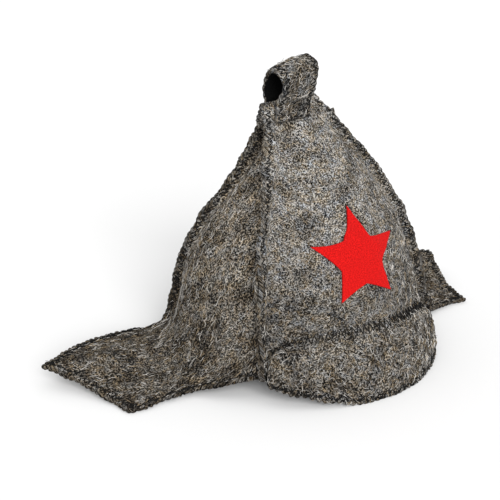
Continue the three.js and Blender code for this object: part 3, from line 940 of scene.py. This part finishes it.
def star_shape():
    """The star's points, its faces and their places on the flat felt."""
    levels = [star_points(0), star_points(star_thickness, star_rounding)]
    count = len(levels[0][0])
    rim = [part[-star_steps:] for part in star_points(star_thickness * 0.55, -star_swell)]
    points, flat = [np.concatenate(parts) for parts in zip(*levels, rim)]
    step = np.arange(star_steps)
    after = (step + 1) % star_steps
    pairs = step[::2]
    faces = []
    for level in (0, 1):
        middle = level * count
        first = middle + 1
        after_next = first + (pairs + 2) % star_steps
        fan = [middle + 0 * pairs, first + pairs, first + 1 + pairs, after_next]
        quads = []
        for low in range(first, first + (star_rings - 1) * star_steps, star_steps):
            high = low + star_steps
            quads.append([low + step, high + step, high + after, low + after])
        for corners in (*quads, fan):
            faces.extend(np.stack(corners if level else corners[::-1], -1).tolist())
    edges = [count - star_steps, 2 * count, 2 * count - star_steps]
    for low, high in zip(edges, edges[1:]):
        faces.extend(np.stack([low + step, low + after, high + after, high + step], -1).tolist())
    return handled(lift_star(points)), faces, flat[faces]


star_at, star_faces, star_corners = star_shape()
star = new_piece("star_felt", star_at, star_faces, red_felt(), star_corners)
radius, angle = star_outline(np.linspace(0, 1, star_steps, endpoint=False))
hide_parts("star")

# The hanging loop
# A strip of the same felt with overlocked edges, folded over the ridge, with its two legs sewn to
# the front and the back panel. It stands up open, and sags a little at the wearer's right.
loop_width = 0.030
loop_sag = 0.26
loop_foot_aside = -0.0095
loop_top_aside = -0.003
loop_margin = 0.15
leg_lift = 0.0005
loop_rows = 130
loop_columns = 30
loop_path = [
    (0.1705, None),
    (0.1750, None),
    (0.1790, None),
    (0.1855, 0.0049),
    (0.1910, 0.0074),
    (0.1990, 0.0094),
    (0.2065, 0.0082),
    (0.2110, 0.0048),
    (0.2125, 0.0000),
]


def smooth_line(stops, count):
    """A smooth line through a few points, evenly spaced."""
    stops = np.array(stops)
    key = np.concatenate([[0], np.cumsum(np.linalg.norm(np.diff(stops, axis=0), axis=1) ** 0.75)])
    places = np.linspace(0, key[-1], 4 * count)
    return evenly(np.stack([Rows.curve(key, stops[:, k], places) for k in range(3)], -1), count)


def loop_inside():
    foot, top = loop_path[0][0], loop_path[-1][0]
    columns = []
    for share in np.linspace(0, 1, loop_columns):
        front, back = [], []
        for height, depth in loop_path:
            lift = (height - foot) / (top - foot)
            slump = (loop_top_aside - loop_foot_aside) * lift
            aside = loop_foot_aside + slump + (share - 0.5) * loop_width
            if depth is None:
                width = float(wall_at("front", 0.5, height)[2])
                across = 0.5 + (aside - float(crown.at("lean", height))) / width
                across = min(max(across, loop_margin), 1 - loop_margin)
                leg = on_front(np.array(across), np.array(height), felt_thickness + leg_lift)
                front.append((aside, leg[1], leg[2]))
                back.append((aside, -leg[1], leg[2]))
            else:
                sunk = max(height - crown_top, 0) * loop_sag * (1 - share) ** 2
                front.append((aside, -depth, height - sunk))
                back.append((aside, depth, height - sunk))
        columns.append(smooth_line([*front, *back[-2::-1]], loop_rows))
    return np.stack(columns, 1)


loop_grid = loop_inside()
for side, edge in ((1, 0), (-1, -1)):
    drawn_in = scallop(edge_lengths(loop_grid[:, edge]))
    for column, share in enumerate((1, 0.6, 0.2)):
        loop_grid[:, edge + side * column, 0] -= side * drawn_in * share
# Painted shade: the same felt as the panels, set darker for the shade on the loop.
loop_wool = wool("grey_felt_of_loop", 0.335, 2.55, 0.002, (0.88, 0.88))
from_loop_edge = from_ends(loop_columns) * loop_width / (loop_columns - 1)
loop_band = np.clip(1.4 - 1.4 * from_loop_edge / stitch_width, 0, 1) * np.ones((loop_rows, 1))
loop_along = edge_lengths((loop_grid[:, 0] + loop_grid[:, -1]) / 2)
loop_swell = stitch_swell(loop_along)[:, None]
loop_thickness = felt_thickness + stitch_relief * loop_swell * loop_band
loop_dark = hem_shadow * loop_band * (0.9 - loop_swell)
# Painted shade: hollow=1.0 paints the loop's inside near black, for the shade in its hollow.
loop_piece, felt_faces["loop"] = felt_piece(
    "hanging_loop_felt", loop_grid, loop_wool, loop_thickness, loop_dark, 132, painted_inside_shade=1.0
)
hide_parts("hanging_loop")

# The threads
# Black sewing thread. A zigzag lies a little inside the edge, on the face of every raised seam and
# on both faces of the hems, and along the loop; another crosses the peak's upper edge and holds it.
thread_radius = 0.00042
thread_sides = 5
thread_lift = 0.0003
wear_size = 1 / 900
stitch_near = 0.0012  # from the edge to the near end of a stitch
stroke_points = 5
ridge_clear = 0.002  # the seams' zigzags end below the ridge
least_step = 0.0007  # between the rows at a hem
most_slide = 0.006  # of a stitch along a hem whose columns stand askew
peak_stitch_over = 0.0021  # how far the peak's zigzag reaches over its edge on to the front panel
peak_stitch_below = 0.0040 / 0.00065  # and how many rows on to the peak
peak_stitch_lift = 0.0002  # off the front panel
peak_thread_radius = 0.0004


def grid_at(grid, i, j):
    """A grid's points between its rows and columns."""
    rows, columns = grid.shape[:2]
    i, j = np.clip(i, 0, rows - 1.001), np.clip(j, 0, columns - 1.001)
    low_i, low_j = i.astype(int), j.astype(int)
    s, t = (i - low_i)[:, None], (j - low_j)[:, None]
    low = grid[low_i, low_j] * (1 - t) + grid[low_i, low_j + 1] * t
    high = grid[low_i + 1, low_j] * (1 - t) + grid[low_i + 1, low_j + 1] * t
    return low * (1 - s) + high * s


def tubes(lines, squares, radius, sides):
    """The points and faces of thin tubes along lines of points, with the felt's outward directions
    there. The radius is one number, or one for each point of a line."""
    along = unit(np.gradient(lines, axis=1) + 1e-9)
    beside = unit(np.cross(along, squares))
    above = np.cross(beside, along)[:, :, None]
    turn = np.linspace(0, 2 * np.pi, sides, endpoint=False)[:, None]
    ring = np.cos(turn) * above + np.sin(turn) * beside[:, :, None]
    points = lines[:, :, None] + np.reshape(radius, (-1, 1, 1)) * ring
    number = np.arange(points[..., 0].size).reshape(points.shape[:3])
    after = np.roll(number, -1, axis=2)
    faces = np.stack([number[:, :-1], after[:, :-1], after[:, 1:], number[:, 1:]], -1)
    caps = np.concatenate([number[:, 0, ::-1], number[:, -1]])
    return points.reshape(-1, 3), faces.reshape(-1, 4).tolist() + caps.tolist()


class Sewing:
    """Threads gathered into one piece."""

    def __init__(self):
        self.points = []
        self.faces = []
        self.count = 0

    def sew(self, line, square, radius=thread_radius):
        """Adds a thread along a line of points; square is the felt's outward direction at each."""
        points, faces = tubes(line[None], square[None], radius, thread_sides)
        self.faces.extend([corner + self.count for corner in face] for face in faces)
        self.points.append(points)
        self.count += len(points)

    def zigzag(self, face, along, across, stop):
        """A zigzag near the edge of a face. along are the distances along its edge, and across
        turns places along it and depths in from it into rows and columns of the face's grid."""
        square = outward_of(face)
        stroke = stitch_pitch / 2
        count = int((stop - along[0]) / stroke)
        line, out = [], []
        for k, stray in enumerate(ripple(np.arange(count) * stitch_pitch, 0.021, count % 17)):
            share = np.linspace(0, 1, stroke_points)[: None if k == count - 1 else -1]
            crossed = share if k % 2 else 1 - share
            depths = stitch_near + stitch_width * (1 + 0.1 * stray) * crossed
            i, j = across(along[0] + (k + share) * stroke, depths)
            up = unit(grid_at(square, i, j))
            dip = np.sin(np.pi * share) * 1.6 - 0.6
            line.extend(grid_at(face, i, j) + up * (thread_lift * dip)[:, None])
            out.extend(up)
        self.sew(np.array(line), np.array(out))


def thread_finish():
    thread = Finish("black_thread")
    place = thread.node("ShaderNodeTexCoord", output=3)
    wear = thread.noise(place, wear_size, flat=False)
    colour = thread.mix(wear, tone(4), tone(22, 0.02))
    thread.surface(Base_Color=colour, Roughness=0.8, Normal=thread.bump(wear, 0.6, 0.0002))
    thread.surface(Specular_IOR_Level=0.15)
    return thread.material


seam_sewing = Sewing()
for panel, heights in seam_rows.items():
    outer = felt_faces[panel][1]
    last = outer.shape[1] - 1
    for at_finish in (False, True):
        along = np.interp(heights[at_finish], seam_heights, seam_lengths)
        reach = np.interp(heights[at_finish], seam_heights, seam_reaches)

        def on_fin(places, depths):
            i = np.interp(places, along, np.arange(len(along)))
            column = depths * fin_columns / (np.interp(places, along, reach) - bend)
            return i, last - column if at_finish else column

        seam_sewing.zigzag(outer, along, on_fin, along[-1] - ridge_clear)

hem_sewing = Sewing()
for panel in ("left", "right", "back", "peak"):
    margin = 0 if panel == "peak" else fins
    for face in felt_faces[panel]:
        columns = np.arange(margin, face.shape[1] - margin)
        along = edge_lengths(face[0, columns])
        run = unit(np.gradient(face[0, columns], axis=0))
        row_step = (face[3, columns] - face[0, columns]) / 3
        aside = (row_step * run).sum(-1)
        inward = np.linalg.norm(row_step - run * aside[:, None], axis=-1)
        inward = np.maximum(inward, least_step)

        def on_hem(places, depths):
            i = depths / np.interp(places, along, inward)
            slid = np.clip(i * np.interp(places, along, aside), -most_slide, most_slide)
            return i, np.interp(places - slid, along, columns)

        hem_sewing.zigzag(face, along, on_hem, along[-1])

loop_sewing = Sewing()
loop_outside = felt_faces["loop"][1]
last = loop_columns - 1
for at_finish in (False, True):
    along = edge_lengths(loop_outside[:, last if at_finish else 0])

    def on_loop_edge(places, depths):
        j = depths / (loop_width / last)
        return np.interp(places, along, np.arange(len(along))), last - j if at_finish else j

    loop_sewing.zigzag(loop_outside, along, on_loop_edge, along[-1])

peak_sewing = Sewing()
outer = felt_faces["peak"][1]
along = edge_lengths(outer[-1])
places = np.arange(1, int(along[-1] / (stitch_pitch / 2))) * stitch_pitch / 2
columns = np.interp(places, along, np.arange(len(along)))
rows = np.full(len(columns), peak_rows - 1 - peak_stitch_below)
on_peak = grid_at(outer, rows, columns)
peak_up = unit(grid_at(outward_of(outer), rows, columns))
angle = -peak.key[-1] + 2 * peak.key[-1] * columns / (peak_columns - 1)
sewn_across = 0.5 + angle / peak.key[-1] * sewn_share / 2
above_edge = peak.at("sewn", angle) + peak_stitch_over
on_panel = handled(on_front(sewn_across, above_edge, felt_thickness + peak_stitch_lift))
zig = np.where((np.arange(len(places)) % 2 == 0)[:, None], on_panel, on_peak)
line = np.empty((2 * len(zig) - 1, 3))
line[::2] = zig
line[1::2] = (zig[:-1] + zig[1:]) / 2 + peak_up[:-1] * thread_lift
peak_sewing.sew(line, np.repeat(peak_up, 2, axis=0)[:-1], peak_thread_radius)

black_thread = thread_finish()
sewn = dict(seam=seam_sewing, hem=hem_sewing, loop=loop_sewing, peak=peak_sewing)
for name, sewing in sewn.items():
    new_piece(f"{name}_threads", np.concatenate(sewing.points), sewing.faces, black_thread)

# The stray hairs
# Single hairs of the felt's wool that have come loose, pale, tan and black. They curl over its
# outside and off its edges.
hair_radius = 0.00014
hair_points = 6
hair_reach = 0.0055
hair_sides = 3
hair_arch = 0.0003  # how high its middle stands off the face
hair_sunk = 0.00005
hair_stray = 0.0022  # how far the end of the wildest hair stands off
hair_cloud_size = 1 / 160
loose_hairs = (("pale", 5600, 200, 0.03), ("tan", 2300, 138, 0.20), ("black", 2000, 12, 0.0))


def hair_finish(name, grey, warm):
    hair = Finish(f"{name}_hair")
    place = hair.node("ShaderNodeTexCoord", output=3)
    varied = hair.noise(place, hair_cloud_size, 1, flat=False)
    colour = hair.mix(varied.within(0.4, 0.6), tone(grey * 0.62, warm), tone(grey, warm))
    hair.surface(Base_Color=colour, Roughness=0.8)
    hair.surface(Specular_IOR_Level=0.1)
    return hair.material


def scatter(face, count, random):
    """Curling hairs on a face, as lines of points with the face's outward directions."""
    square = outward_of(face)
    corner = face[:-1, :-1]
    area = np.linalg.norm(np.cross(face[1:, :-1] - corner, face[:-1, 1:] - corner), axis=-1)
    cell = random.choice(area.size, count, p=area.ravel() / area.sum())
    i, j = np.divmod(cell, area.shape[1])
    i, j = i + random.uniform(0, 1, count), j + random.uniform(0, 1, count)
    turn, curl = random.uniform(0, 2 * np.pi, count), random.normal(0, 0.45, count)
    step = hair_reach * random.uniform(0.5, 1.3, count) / (hair_points - 1)
    stray = random.uniform(0, 1, count) ** 6 * hair_stray
    low_i = np.minimum(i.astype(int), face.shape[0] - 2)
    low_j = np.minimum(j.astype(int), face.shape[1] - 2)
    row_step = np.linalg.norm(face[low_i + 1, low_j] - face[low_i, low_j], axis=-1) + 1e-5
    column_step = np.linalg.norm(face[low_i, low_j + 1] - face[low_i, low_j], axis=-1) + 1e-5
    lines, ups = [], []
    for k in range(hair_points):
        share = k / (hair_points - 1)
        up = unit(grid_at(square, i, j))
        lift = hair_arch * math.sin(math.pi * share) - hair_sunk + stray * share**2
        lines.append(grid_at(face, i, j) + up * np.reshape(lift, (-1, 1)))
        ups.append(up)
        i = i + np.cos(turn) * step / row_step
        j = j + np.sin(turn) * step / column_step
        turn = turn + curl + random.normal(0, 0.25, count)
    return np.stack(lines, 1), np.stack(ups, 1)


random = np.random.default_rng(5)
hair_taper = 0.35 + 0.65 * np.sin(np.pi * np.linspace(0, 1, hair_points))
sheet_shares = dict(front=0.31, back=0.17, left=0.13, right=0.21, peak=0.13, loop=0.05)
for name, count, grey, warm in loose_hairs:
    grown = [
        scatter(felt_faces[sheet][1], int(count * part), random)
        for sheet, part in sheet_shares.items()
    ]
    lines, ups = [np.concatenate(parts) for parts in zip(*grown)]
    points, faces = tubes(lines, ups, hair_radius * hair_taper, hair_sides)
    new_piece(f"{name}_hairs", points, faces, hair_finish(name, grey, warm))

# The floor and the light
# A plain pale floor under an even white sky, and one wide soft lamp that shines from the front, a
# little above the hat and to the wearer's right.
white = Finish("white_floor")
white.surface(Base_Color=(0.68, 0.68, 0.68, 1), Roughness=0.9)
floor_size = 9.0
bpy.ops.mesh.primitive_plane_add(size=floor_size)
floor = bpy.context.object
floor.name = "floor"
floor.data.materials.append(white.material)

world = bpy.data.worlds.new("studio")
world.use_nodes = True
world.node_tree.nodes["Background"].inputs["Color"].default_value = (1, 1, 1, 1)
world.node_tree.nodes["Background"].inputs["Strength"].default_value = 1.0
bpy.context.scene.world = world

lamp = bpy.data.lights.new("wide_soft_light", "SUN")
lamp.energy = 4.0
lamp.angle = math.radians(40)
holder = bpy.data.objects.new("wide_soft_light", lamp)
holder.rotation_mode = "QUATERNION"
holder.rotation_quaternion = Vector((0.30, 0.85, -0.43)).to_track_quat("-Z", "Y")
bpy.context.scene.collection.objects.link(holder)
bpy.context.scene.view_settings.view_transform = "Standard"
